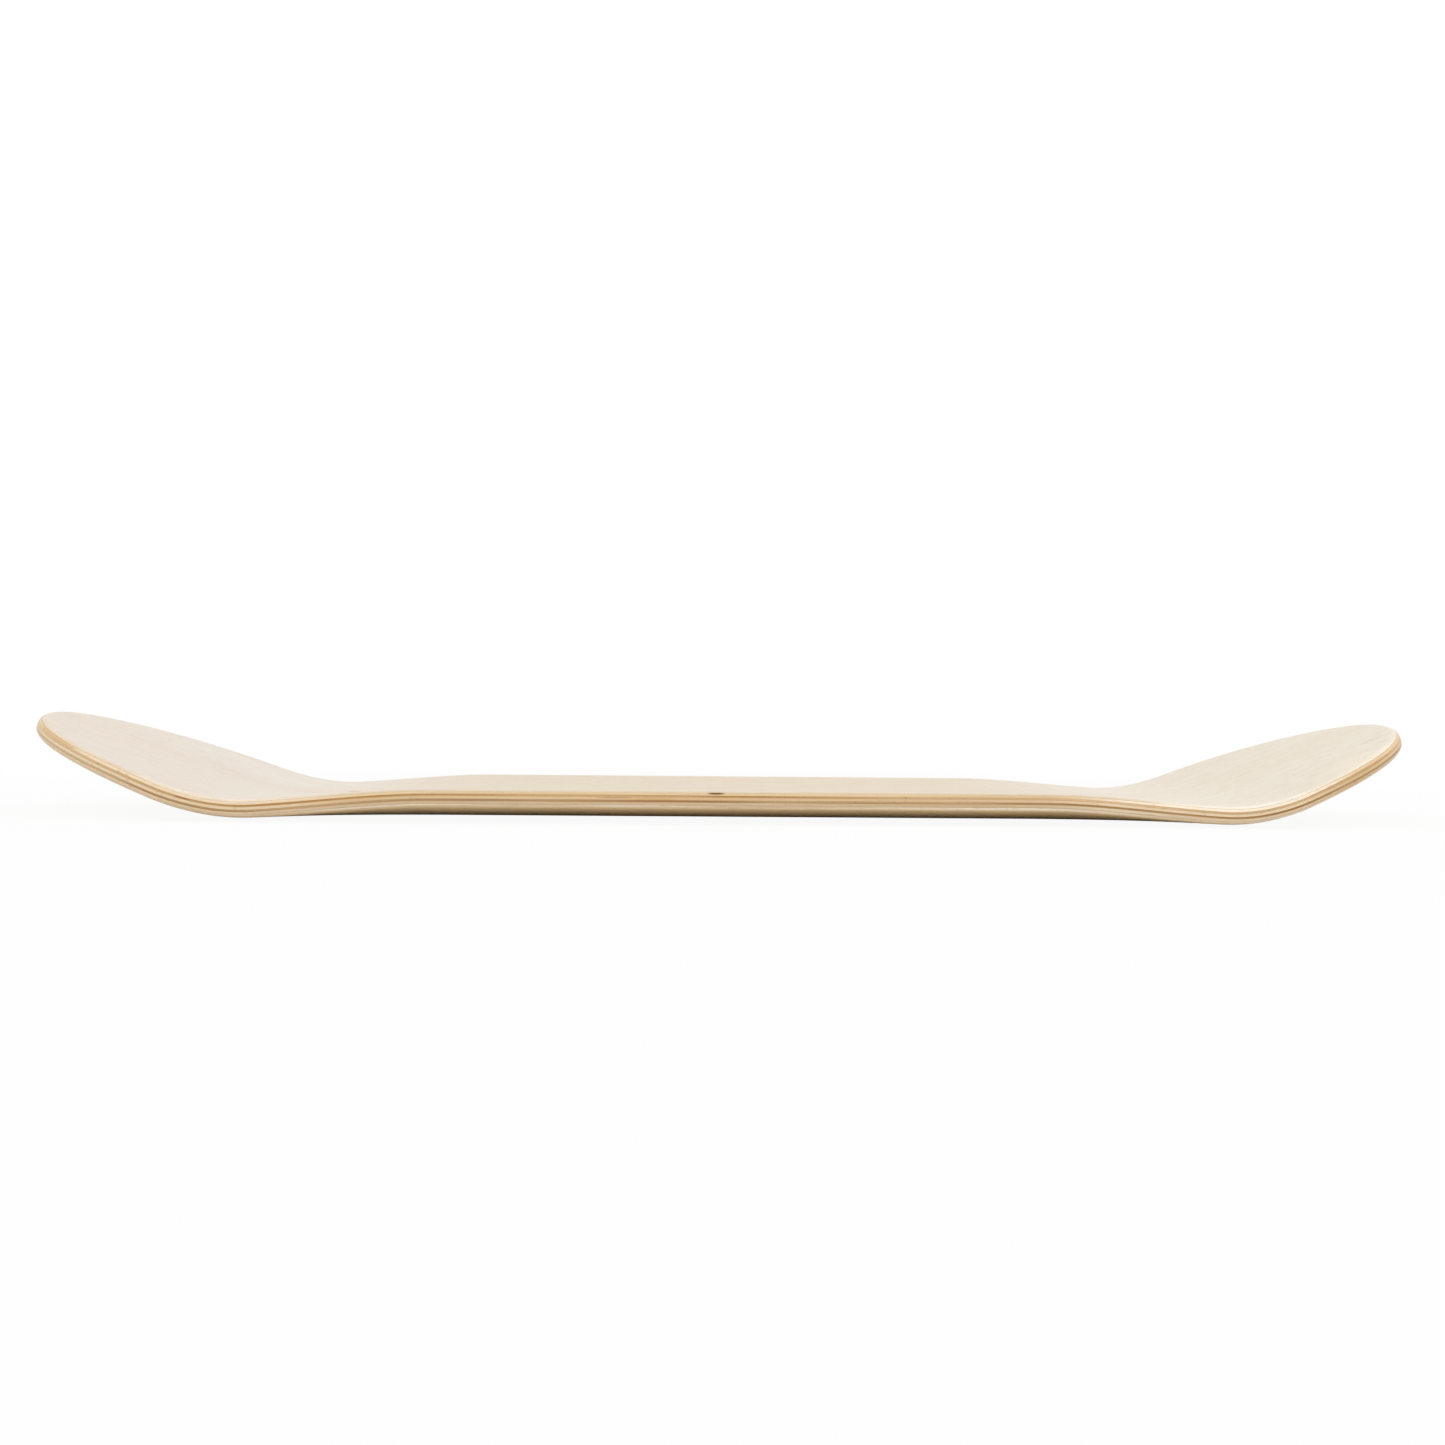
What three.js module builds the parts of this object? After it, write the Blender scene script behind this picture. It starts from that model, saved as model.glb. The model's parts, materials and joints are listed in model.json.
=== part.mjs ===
import * as THREE from "three";

// A bare skateboard deck. Seven maple veneers are glued together by six thin films, pressed to a
// shape whose nose and tail kick up and whose rails rise, cut to an outline with two round ends,
// rounded over along the whole edge, and drilled for two trucks.
// Sizes are in millimetres. The nose points along -X, the tail along +X, and +Z is up. The origin
// lies on the flat underside, midway between the two trucks.

// The outline and the truck bolts.
const DECK_WIDTH = 203;
const WHEELBASE = 362; // between the inner bolt rows of the two trucks
const BOLT_SPACING_ALONG = 54;
const BOLT_SPACING_ACROSS = 41.3;
const BOLT_HOLE_RADIUS = 2.75;
const COUNTERSINK_RADIUS = 4.75; // at the top face, for flat-headed bolts
const COUNTERSINK_HALF_ANGLE = THREE.MathUtils.degToRad(41);
const OUTLINE_POWER_ALONG = 2.9; // the round ends are superellipses with these two powers
const OUTLINE_POWER_ACROSS = 1.85;

// The nose, measured from the outer bolt row.
const NOSE_REACH = 173;
const NOSE_BEND_GAP = 16; // the outer bolt row to the start of the bend
const NOSE_BEND_RADIUS = 160;
const NOSE_ANGLE = THREE.MathUtils.degToRad(21.3);
const NOSE_ROUND_LENGTH = 162; // the tip back to where the outline starts to narrow

// The tail, measured in the same way.
const TAIL_REACH = 167;
const TAIL_BEND_GAP = 20;
const TAIL_BEND_RADIUS = 140;
const TAIL_ANGLE = THREE.MathUtils.degToRad(22.6);
const TAIL_ROUND_LENGTH = 154;

// The lay-up, after pressing, and the edge.
const LONG_VENEER_THICKNESS = 1.4;
const CROSS_VENEER_THICKNESS = 1;
const GLUE_THICKNESS = 0.1;
const EDGE_RADIUS = 4;

// The concave: both rails rise from a flat strip a little wider than a truck's base.
const FLAT_WIDTH = 60;
const CONCAVE_DEPTH = 9.1;
const CONCAVE_FADE_LEAD = 21; // it starts to fade this far before the inner bolt row
const CONCAVE_FADE_LENGTH = 120;
const CONCAVE_END_SHARE = 0.17; // what is left of it on the nose and tail

// How finely the surfaces are divided.
const BOLT_CELL_MARGIN = 7; // half the side of the square cell that holds one bolt hole
const HOLE_STEPS = 12; // a multiple of four, so that each corner of the cell meets a point
const BEND_STEPS = 4;
const ROUND_STEPS = 6;
const RAIL_LINE_SHARE = 0.56; // the line between a bolt cell and the rail
const OUTER_EDGE_STEPS = 2; // the face veneers carry most of the rounded edge

// The veneers from the top down. A long veneer's grain runs from nose to tail, a cross veneer's
// from rail to rail.
const VENEERS = [
  { name: "ply_1_top_face", wood: "face", thickness: LONG_VENEER_THICKNESS },
  { name: "ply_2_long", wood: "long", thickness: LONG_VENEER_THICKNESS },
  { name: "ply_3_cross", wood: "cross", thickness: CROSS_VENEER_THICKNESS },
  { name: "ply_4_long", wood: "long", thickness: LONG_VENEER_THICKNESS },
  { name: "ply_5_cross", wood: "cross", thickness: CROSS_VENEER_THICKNESS },
  { name: "ply_6_long", wood: "long", thickness: LONG_VENEER_THICKNESS },
  { name: "ply_7_bottom_face", wood: "face", thickness: LONG_VENEER_THICKNESS },
];

const WOOD = {
  face: { color: 0xe8ddca, roughness: 0.55 },
  long: { color: 0xdcc09a, roughness: 0.6 },
  cross: { color: 0xc19a69, roughness: 0.65 },
};
const GLUE = { color: 0x8f6f45, roughness: 0.5 };

const HALF_WIDTH = DECK_WIDTH / 2;
const HALF_FLAT = FLAT_WIDTH / 2;
const THICKNESS = VENEERS.reduce((sum, { thickness }) => sum + thickness + GLUE_THICKNESS, -GLUE_THICKNESS);
const INNER_BOLTS = WHEELBASE / 2;
const OUTER_BOLTS = INNER_BOLTS + BOLT_SPACING_ALONG;
const CONCAVE_FADE_START = INNER_BOLTS - CONCAVE_FADE_LEAD;
const CONCAVE_FADE_END = CONCAVE_FADE_START + CONCAVE_FADE_LENGTH;

// The planes that bound one end of the deck, as distances from the origin.
function deckEnd(side, reach, bendGap, bendRadius, angle, roundLength) {
  const tip = OUTER_BOLTS + reach;
  const bendStart = OUTER_BOLTS + bendGap;
  return {
    side,
    tip,
    bendStart,
    bendRadius,
    angle,
    bendEnd: bendStart + bendRadius * Math.sin(angle),
    shoulder: tip - roundLength,
  };
}

const NOSE = deckEnd(-1, NOSE_REACH, NOSE_BEND_GAP, NOSE_BEND_RADIUS, NOSE_ANGLE, NOSE_ROUND_LENGTH);
const TAIL = deckEnd(1, TAIL_REACH, TAIL_BEND_GAP, TAIL_BEND_RADIUS, TAIL_ANGLE, TAIL_ROUND_LENGTH);

function endAt(x) {
  return x < 0 ? NOSE : TAIL;
}

// The underside's centre line seen from the side: flat, then an arc, then a straight kick.
function centreLine(x) {
  const end = endAt(x);
  const run = Math.abs(x) - end.bendStart;
  const slope = Math.abs(x) < end.bendEnd ? Math.asin(Math.max(run, 0) / end.bendRadius) : end.angle;
  const rise = end.bendRadius * (1 - Math.cos(slope));
  const past = Math.max(Math.abs(x) - end.bendEnd, 0);
  return { z: rise + past * Math.tan(end.angle), slope: end.side * slope };
}

// How far a point of the underside rises with the concave, and how steeply. The rise is a parabola
// from the edge of the flat strip to the rail.
function concave(x, y) {
  const fade = THREE.MathUtils.smoothstep(Math.abs(x), CONCAVE_FADE_START, CONCAVE_FADE_END);
  const depth = CONCAVE_DEPTH * THREE.MathUtils.lerp(1, CONCAVE_END_SHARE, fade);
  const span = HALF_WIDTH - HALF_FLAT;
  const share = Math.max(Math.abs(y) - HALF_FLAT, 0) / span;
  return { lift: depth * share ** 2, tilt: (Math.sign(y) * 2 * depth * share) / span };
}

// The point of the pressed sheet over plan position x, y, at a height above the underside that is
// measured square to the sheet.
function pressedPoint({ x, y }, height) {
  const { z, slope } = centreLine(x);
  const { lift, tilt } = concave(x, y);
  const normal = new THREE.Vector3(-Math.sin(slope), -tilt, Math.cos(slope)).normalize();
  return new THREE.Vector3(x, y, z + lift).addScaledVector(normal, height);
}

// How far the rounded edge stands in from the outline at a height above the underside. Both
// corners of the edge are quarter circles.
function edgeInset(height) {
  const past = Math.max(EDGE_RADIUS - height, height - (THICKNESS - EDGE_RADIUS), 0);
  return EDGE_RADIUS - Math.sqrt(EDGE_RADIUS ** 2 - past ** 2);
}

// The bolt hole's radius at a height: a countersink that narrows to the drilled hole.
function holeRadius(height) {
  const depth = THICKNESS - height;
  return Math.max(BOLT_HOLE_RADIUS, COUNTERSINK_RADIUS - depth * Math.tan(COUNTERSINK_HALF_ANGLE));
}

// The share of its full width that the outline has at x, when it is drawn in by an inset.
function widthShare(x, inset) {
  const end = endAt(x);
  const run = Math.max(Math.abs(x) - end.shoulder, 0) / (end.tip - inset - end.shoulder);
  return Math.max(1 - run ** OUTLINE_POWER_ALONG, 0) ** (1 / OUTLINE_POWER_ACROSS);
}

// The distances from the origin at which one end is cut across: both sides of each bolt cell, the
// steps of the bend, and even turns round the outline to the tip.
function stations(end, inset) {
  const found = [];
  for (const row of [INNER_BOLTS, OUTER_BOLTS]) {
    found.push(row - BOLT_CELL_MARGIN, row + BOLT_CELL_MARGIN);
  }
  for (let i = 0; i <= BEND_STEPS; i++) {
    found.push(end.bendStart + end.bendRadius * Math.sin((end.angle * i) / BEND_STEPS));
  }
  const length = end.tip - inset - end.shoulder;
  const startShare = Math.max(end.bendEnd - end.shoulder, 0) / length;
  const firstTurn = Math.asin(startShare ** (OUTLINE_POWER_ALONG / 2));
  for (let i = 1; i <= ROUND_STEPS; i++) {
    const turn = THREE.MathUtils.lerp(firstTurn, Math.PI / 2, i / ROUND_STEPS);
    found.push(end.shoulder + length * Math.sin(turn) ** (2 / OUTLINE_POWER_ALONG));
  }
  return found.map((distance) => end.side * distance);
}

// Lines along the deck, from the near rail to the far one, where the outline has its full width.
const CELL_INSIDE = BOLT_SPACING_ACROSS / 2 - BOLT_CELL_MARGIN;
const CELL_OUTSIDE = BOLT_SPACING_ACROSS / 2 + BOLT_CELL_MARGIN;
const RAIL_LINE = THREE.MathUtils.lerp(CELL_OUTSIDE, HALF_WIDTH, RAIL_LINE_SHARE);

function lines(inset) {
  const half = [CELL_INSIDE, CELL_OUTSIDE, RAIL_LINE, HALF_WIDTH - inset];
  return [...half.map((y) => -y).reverse(), ...half];
}

const STATION_COUNT = stations(NOSE, 0).length + stations(TAIL, 0).length;
const LINE_COUNT = lines(0).length;
const LAST_STATION = STATION_COUNT - 1;
const TIP_TO_TIP_POINTS = (STATION_COUNT - 2) * LINE_COUNT + 2;

// The plan of the sheet at a height: a grid of stations and lines, with one point at each tip.
function planGrid(height) {
  const inset = edgeInset(height);
  const xs = [...stations(NOSE, inset).reverse(), ...stations(TAIL, inset)];
  const inner = xs.slice(1, -1).flatMap((x) => lines(inset).map((y) => ({ x, y: y * widthShare(x, inset) })));
  return [{ x: xs[0], y: 0 }, ...inner, { x: xs[LAST_STATION], y: 0 }];
}

function gridIndex(station, line) {
  if (station === 0) return 0;
  if (station === LAST_STATION) return TIP_TO_TIP_POINTS - 1;
  return 1 + (station - 1) * LINE_COUNT + line;
}

// The cells of the grid that hold a bolt hole, found from the grid itself.
const BOLTS = [-1, 1].flatMap((end) =>
  [INNER_BOLTS, OUTER_BOLTS].flatMap((row) =>
    [-1, 1].map((side) => ({ x: end * row, y: (side * BOLT_SPACING_ACROSS) / 2 })),
  ),
);

function boltInCell(corners) {
  const [low, , high] = corners;
  return BOLTS.findIndex(({ x, y }) => x > low.x && x < high.x && y > low.y && y < high.y);
}

// A ring of points round each bolt hole. Its first point faces the first corner of the cell.
function holeRing(bolt, height) {
  const radius = holeRadius(height);
  return Array.from({ length: HOLE_STEPS }, (_, i) => {
    const turn = (2 * Math.PI * i) / HOLE_STEPS - (3 * Math.PI) / 4;
    return { x: bolt.x + radius * Math.cos(turn), y: bolt.y + radius * Math.sin(turn) };
  });
}

function ringIndex(bolt, step) {
  return TIP_TO_TIP_POINTS + bolt * HOLE_STEPS + (step % HOLE_STEPS);
}

// The triangles between a cell's four corners and the hole in it.
function holeCellTriangles(corners, bolt) {
  const quarter = HOLE_STEPS / 4;
  const reach = Math.ceil(quarter / 2);
  return corners.flatMap((corner, i) => {
    const next = corners[(i + 1) % corners.length];
    const ring = (step) => ringIndex(bolt, i * quarter + step);
    const found = [[corner, next, ring(reach)]];
    for (let step = 0; step < quarter; step++) {
      found.push([step < reach ? corner : next, ring(step + 1), ring(step)]);
    }
    return found;
  });
}

// The triangles of every sheet, facing up. They name points, so all sheets share them.
function sheetTriangles() {
  const plan = planGrid(THICKNESS / 2);
  const found = [];
  for (let s = 0; s < LAST_STATION; s++) {
    for (let line = 0; line < LINE_COUNT - 1; line++) {
      const cell = [
        gridIndex(s, line),
        gridIndex(s + 1, line),
        gridIndex(s + 1, line + 1),
        gridIndex(s, line + 1),
      ];
      const bolt = boltInCell(cell.map((i) => plan[i]));
      if (bolt >= 0) found.push(...holeCellTriangles(cell, bolt));
      else found.push([cell[0], cell[1], cell[2]], [cell[0], cell[2], cell[3]]);
    }
  }
  return found.filter(([a, b, c]) => a !== b && b !== c && c !== a);
}

// The outline of every sheet as a loop of points, counter-clockwise from the nose tip.
function rimLoop() {
  const near = Array.from({ length: STATION_COUNT }, (_, s) => gridIndex(s, 0));
  const far = near.slice(1, -1).map((_, s) => gridIndex(s + 1, LINE_COUNT - 1));
  return [...near, ...far.reverse()];
}

const TRIANGLES = sheetTriangles();
const RIM = rimLoop();
const RINGS = BOLTS.map((_, bolt) => Array.from({ length: HOLE_STEPS }, (_, step) => ringIndex(bolt, step)));

function sheetPoints(height) {
  const plan = [...planGrid(height), ...BOLTS.flatMap((bolt) => holeRing(bolt, height))];
  return plan.map((point) => pressedPoint(point, height));
}

// Two triangles for each step between an upper and a lower loop of points, facing out from a
// counter-clockwise loop.
function wall(upper, lower) {
  return upper.flatMap((a, i) => {
    const next = (i + 1) % upper.length;
    return [
      [a, lower[i], lower[next]],
      [a, lower[next], upper[next]],
    ];
  });
}

function flipped(triangles) {
  return triangles.map(([a, b, c]) => [a, c, b]);
}

// One layer of the laminate: the solid between two heights, with the rounded edge followed in
// the given number of steps and every bolt hole open.
function layerGeometry(bottom, top, edgeSteps) {
  const points = [...sheetPoints(top), ...sheetPoints(bottom)];
  const sheetSize = points.length / 2;
  const lowered = (loop) => loop.map((i) => i + sheetSize);
  const faces = [...TRIANGLES, ...flipped(TRIANGLES.map(lowered))];

  let upper = RIM;
  for (let step = 1; step < edgeSteps; step++) {
    const height = THREE.MathUtils.lerp(top, bottom, step / edgeSteps);
    const plan = planGrid(height);
    const between = RIM.map((_, i) => points.length + i);
    points.push(...RIM.map((i) => pressedPoint(plan[i], height)));
    faces.push(...wall(upper, between));
    upper = between;
  }
  faces.push(...wall(upper, lowered(RIM)));
  for (const ring of RINGS) faces.push(...flipped(wall(ring, lowered(ring))));

  return new THREE.BufferGeometry().setFromPoints(points).setIndex(faces.flat());
}

function layer(name, finish, bottom, top, edgeSteps) {
  const material = new THREE.MeshStandardMaterial({ ...finish, metalness: 0, flatShading: true });
  const mesh = new THREE.Mesh(layerGeometry(bottom, top, edgeSteps), material);
  mesh.name = name;
  return mesh;
}

const deck = new THREE.Group();
const veneers = new THREE.Group();
const glueFilms = new THREE.Group();
deck.add(veneers, glueFilms);

// From the top down. A height that two layers share is worked out once, so that their faces meet
// exactly.
let top = THICKNESS;
VENEERS.forEach(({ name, wood, thickness }, i) => {
  const isLast = i === VENEERS.length - 1;
  const bottom = isLast ? 0 : top - thickness;
  veneers.add(layer(name, WOOD[wood], bottom, top, i === 0 || isLast ? OUTER_EDGE_STEPS : 1));
  if (isLast) return;
  top = bottom - GLUE_THICKNESS;
  glueFilms.add(layer(`glue_film_${i + 1}_to_${i + 2}`, GLUE, top, bottom, 1));
});

export default deck;
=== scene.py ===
import json
import math

import bpy
import numpy as np
from mathutils import Matrix, Vector


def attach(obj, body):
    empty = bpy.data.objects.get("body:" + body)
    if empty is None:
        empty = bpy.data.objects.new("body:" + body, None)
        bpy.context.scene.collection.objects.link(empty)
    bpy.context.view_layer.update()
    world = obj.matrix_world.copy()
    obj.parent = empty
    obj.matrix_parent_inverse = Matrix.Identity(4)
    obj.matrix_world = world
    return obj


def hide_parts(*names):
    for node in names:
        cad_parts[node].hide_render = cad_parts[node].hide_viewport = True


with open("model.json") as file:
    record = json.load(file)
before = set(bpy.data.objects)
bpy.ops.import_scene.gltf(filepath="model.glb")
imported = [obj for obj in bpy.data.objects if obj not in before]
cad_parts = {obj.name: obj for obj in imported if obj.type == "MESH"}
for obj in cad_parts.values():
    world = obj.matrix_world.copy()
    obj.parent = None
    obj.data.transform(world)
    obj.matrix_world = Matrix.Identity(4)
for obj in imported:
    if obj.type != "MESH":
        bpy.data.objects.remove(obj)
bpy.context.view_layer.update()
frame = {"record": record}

# The bottom face veneer
#
# The first sheet of hard maple in the press, with its grain from nose to tail. Seven such sheets are
# glued, pressed to a kicked and dished shape, drilled for two trucks, cut to an outline and rounded
# over along the whole edge. So this section holds the press, the cutters and the maple finish too.

MM = 0.001
seats = {mount["name"]: mount["pos_m"] for mount in frame["record"]["mounts"]}
TRUCK_MIDDLE = seats["tail_truck_seat"][0]
THICKNESS = seats["top_face_middle"][2] - seats["underside_middle"][2]
VENEER_COUNT = 7
CROSS_VENEERS = (3, 5)
GLUE_THICKNESS = 0.1 * MM
CROSS_THICKNESS = 1 * MM
LONG_THICKNESS = 1.4 * MM

DECK_WIDTH = 203 * MM
HALF_WIDTH = DECK_WIDTH / 2
EDGE_RADIUS = 4 * MM
OUTLINE_POWER_ALONG = 2.9
OUTLINE_POWER_ACROSS = 1.85

BOLT_SPACING_ALONG = 54 * MM
BOLT_SPACING_ACROSS = 41.3 * MM
INNER_BOLTS = TRUCK_MIDDLE - BOLT_SPACING_ALONG / 2
OUTER_BOLTS = TRUCK_MIDDLE + BOLT_SPACING_ALONG / 2
BOLT_HOLE_RADIUS = 2.75 * MM
COUNTERSINK_RADIUS = 4.75 * MM
COUNTERSINK_HALF_ANGLE = math.radians(41)

HALF_FLAT = 30 * MM
CONCAVE_DEPTH = 9.1 * MM
CONCAVE_END_SHARE = 0.17
CONCAVE_FADE_GAP = 21 * MM
CONCAVE_FADE_START = INNER_BOLTS - CONCAVE_FADE_GAP
CONCAVE_FADE_LENGTH = 120 * MM


def deck_end(side, reach, bend_gap, bend_radius, angle, round_length):
    """One end of the deck, as distances from its middle, from sizes taken at the outer bolt row."""
    tip = OUTER_BOLTS + reach
    return {
        "side": side,
        "tip": tip,
        "bend_start": OUTER_BOLTS + bend_gap,
        "bend_radius": bend_radius,
        "angle": math.radians(angle),
        "shoulder": tip - round_length,
    }


NOSE = deck_end(
    side=-1, reach=173 * MM, bend_gap=16 * MM, bend_radius=160 * MM, angle=21.3, round_length=162 * MM
)
TAIL = deck_end(
    side=1, reach=167 * MM, bend_gap=20 * MM, bend_radius=140 * MM, angle=22.6, round_length=154 * MM
)


def at_end(x, key):
    """The nose's value where x is negative, and the tail's elsewhere."""
    return np.where(x < 0, NOSE[key], TAIL[key])


def centre_line(x):
    """Height, slope and run of the underside's centre line: flat, then an arc, then a straight kick.

    On the arc sin(slope) is the distance past its start over its radius, and the height is
    radius * (1 - cos(slope)). The run is the length along the line from the middle of the deck.
    """
    radius, angle = at_end(x, "bend_radius"), at_end(x, "angle")
    past = np.maximum(np.abs(x) - at_end(x, "bend_start"), 0)
    slope = np.arcsin(np.minimum(past / radius, np.sin(angle)))
    kick = np.maximum(past - radius * np.sin(angle), 0)
    height = radius * (1 - np.cos(slope)) + kick * np.tan(angle)
    run = np.abs(x) - past + radius * slope + kick / np.cos(angle)
    return height, at_end(x, "side") * slope, np.sign(x) * run


def concave(x, y):
    """Rise of the underside with the concave, and its tilt across the deck.

    The rise is a parabola from the edge of the flat strip to the rail. It fades smoothly along the
    deck to a small share on the nose and tail.
    """
    past = np.clip((np.abs(x) - CONCAVE_FADE_START) / CONCAVE_FADE_LENGTH, 0, 1)
    fade = past**2 * (3 - 2 * past)
    depth = CONCAVE_DEPTH * (1 + (CONCAVE_END_SHARE - 1) * fade)
    span = HALF_WIDTH - HALF_FLAT
    share = np.maximum(np.abs(y) - HALF_FLAT, 0) / span
    return depth * share**2, np.sign(y) * 2 * depth * share / span


def pressed(x, y, height):
    """Points of the pressed sheet over plan places x, y, at a height square to the sheet."""
    z, slope, _ = centre_line(x)
    lift, tilt = concave(x, y)
    normal = np.stack([-np.sin(slope), -tilt, np.cos(slope)], -1)
    normal /= np.linalg.norm(normal, axis=-1, keepdims=True)
    return np.stack([x, y, z + lift], -1) + normal * np.asarray(height)[..., None]


def edge_inset(height):
    """How far the rounded edge stands in: r - sqrt(r^2 - d^2), d being the way into a corner."""
    past = np.maximum(EDGE_RADIUS - height, height - (THICKNESS - EDGE_RADIUS))
    return EDGE_RADIUS - np.sqrt(EDGE_RADIUS**2 - np.clip(past, 0, EDGE_RADIUS) ** 2)


def hole_radius(height):
    """The drilled hole, or the countersink's cone where that is wider."""
    cone = COUNTERSINK_RADIUS - (THICKNESS - height) * math.tan(COUNTERSINK_HALF_ANGLE)
    return max(BOLT_HOLE_RADIUS, cone)


CELL_MARGIN = 7 * MM  # half the side of the square cell of the grid round each bolt hole
CELL_STEPS = 8  # faces along each side of that cell
HOLE_STEPS = 4 * CELL_STEPS
HOLE_RINGS = 3  # rings of faces between the cell's border and the hole
MIDDLE_STEPS = 96  # cuts across the deck between the two trucks' cells
SEAT_STEPS = 12  # cuts between the inner and the outer cells of one truck
ROUND_STEPS = 84  # cuts from the outer cells to the tip
TABLE_STEPS = 4000  # points of the fine tables that even steps are read from


def round_end(end):
    """Places and width shares of the cuts from the outer bolt cell to the tip, in even steps.

    The outline is a superellipse: with a turn t, its reach is sin(t) ^ (2 / p) and its width
    cos(t) ^ (2 / q). The steps are even along the outline.
    """
    start = OUTER_BOLTS + CELL_MARGIN
    turn = np.linspace(0, np.pi / 2, TABLE_STEPS)
    length = end["tip"] - end["shoulder"]
    x = end["shoulder"] + length * np.sin(turn) ** (2 / OUTLINE_POWER_ALONG)
    share = np.maximum(np.cos(turn), 0) ** (2 / OUTLINE_POWER_ACROSS)
    x, share = np.append(start, x), np.append(1, share)
    steps = np.hypot(np.diff(x), HALF_WIDTH * np.diff(share))
    walked = np.append(0, np.cumsum(steps))
    even = np.linspace(0, walked[-1], ROUND_STEPS + 1)[1:]
    return np.interp(even, walked, x), np.interp(even, walked, share)


def half_cuts(end):
    """Places and width shares of the cuts across one half of the deck, from its middle outwards."""
    edges = [0]
    edges += [row + way * CELL_MARGIN for row in (INNER_BOLTS, OUTER_BOLTS) for way in (-1, 1)]
    counts = [MIDDLE_STEPS // 2, CELL_STEPS, SEAT_STEPS, CELL_STEPS]
    spans = [np.linspace(a, b, n, endpoint=False) for a, b, n in zip(edges, edges[1:], counts)]
    straight = np.concatenate([*spans, edges[-1:]])
    x, share = round_end(end)
    return end["side"] * np.append(straight, x), np.append(np.ones(len(straight)), share)


nose_x, nose_share = half_cuts(NOSE)
tail_x, tail_share = half_cuts(TAIL)
CUT_X = np.concatenate([nose_x[:0:-1], tail_x])
CUT_SHARE = np.concatenate([nose_share[:0:-1], tail_share])
CUT_SHARE[[0, -1]] = 0

CELL_INSIDE = BOLT_SPACING_ACROSS / 2 - CELL_MARGIN
CELL_OUTSIDE = BOLT_SPACING_ACROSS / 2 + CELL_MARGIN

BOLTS = [
    np.array([end * row, side * BOLT_SPACING_ACROSS / 2])
    for end in (-1, 1)
    for row in (INNER_BOLTS, OUTER_BOLTS)
    for side in (-1, 1)
]
# A hole is gone round from the side that faces its cell's corner toward the nose and the near rail.
hole_turn = 2 * np.pi * np.arange(HOLE_STEPS) / HOLE_STEPS - 3 * np.pi / 4
TURNS = np.stack([np.cos(hole_turn), np.sin(hole_turn)], -1)
BORE_STEPS = 4
SHARP_ANGLE = math.radians(35)


def plan(height, inner_steps, rail_steps):
    """Plan places of a sheet's grid: cuts across the deck by lines along it, rail to rail."""
    inset = edge_inset(height)
    shoulder, tip = at_end(CUT_X, "shoulder"), at_end(CUT_X, "tip")
    drawn_in = (tip - inset - shoulder) / (tip - shoulder)
    past = np.maximum(np.abs(CUT_X) - shoulder, 0)
    x = np.sign(CUT_X) * (np.abs(CUT_X) - past + past * drawn_in)
    inner = np.linspace(0, CELL_INSIDE, inner_steps, endpoint=False)
    cell = np.linspace(CELL_INSIDE, CELL_OUTSIDE, CELL_STEPS, endpoint=False)
    outer = np.linspace(CELL_OUTSIDE, HALF_WIDTH - inset, rail_steps + 1)
    half = np.concatenate([inner, cell, outer])
    lines = np.concatenate([-half[:0:-1], half])
    return np.broadcast_arrays(x[:, None], lines * CUT_SHARE[:, None])


def profile_heights(low, high, steps):
    """Heights at even steps along the rounded edge's profile, from high to low."""
    table = np.linspace(high, low, TABLE_STEPS)
    walked = np.append(0, np.cumsum(np.hypot(np.diff(table), np.diff(edge_inset(table)))))
    return np.interp(np.linspace(0, walked[-1], steps + 1), walked, table)


def quads_between(first, second):
    """Quads between two closed loops of points of equal length, out from a turn to the left."""
    return np.stack([first, second, np.roll(second, -1), np.roll(first, -1)], -1)


def perimeter(cell):
    """The border of a square block of the grid as a loop, turning left from its first corner."""
    return np.concatenate([cell[:-1, 0], cell[-1, :-1], cell[:0:-1, -1], cell[0, :0:-1]])


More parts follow.
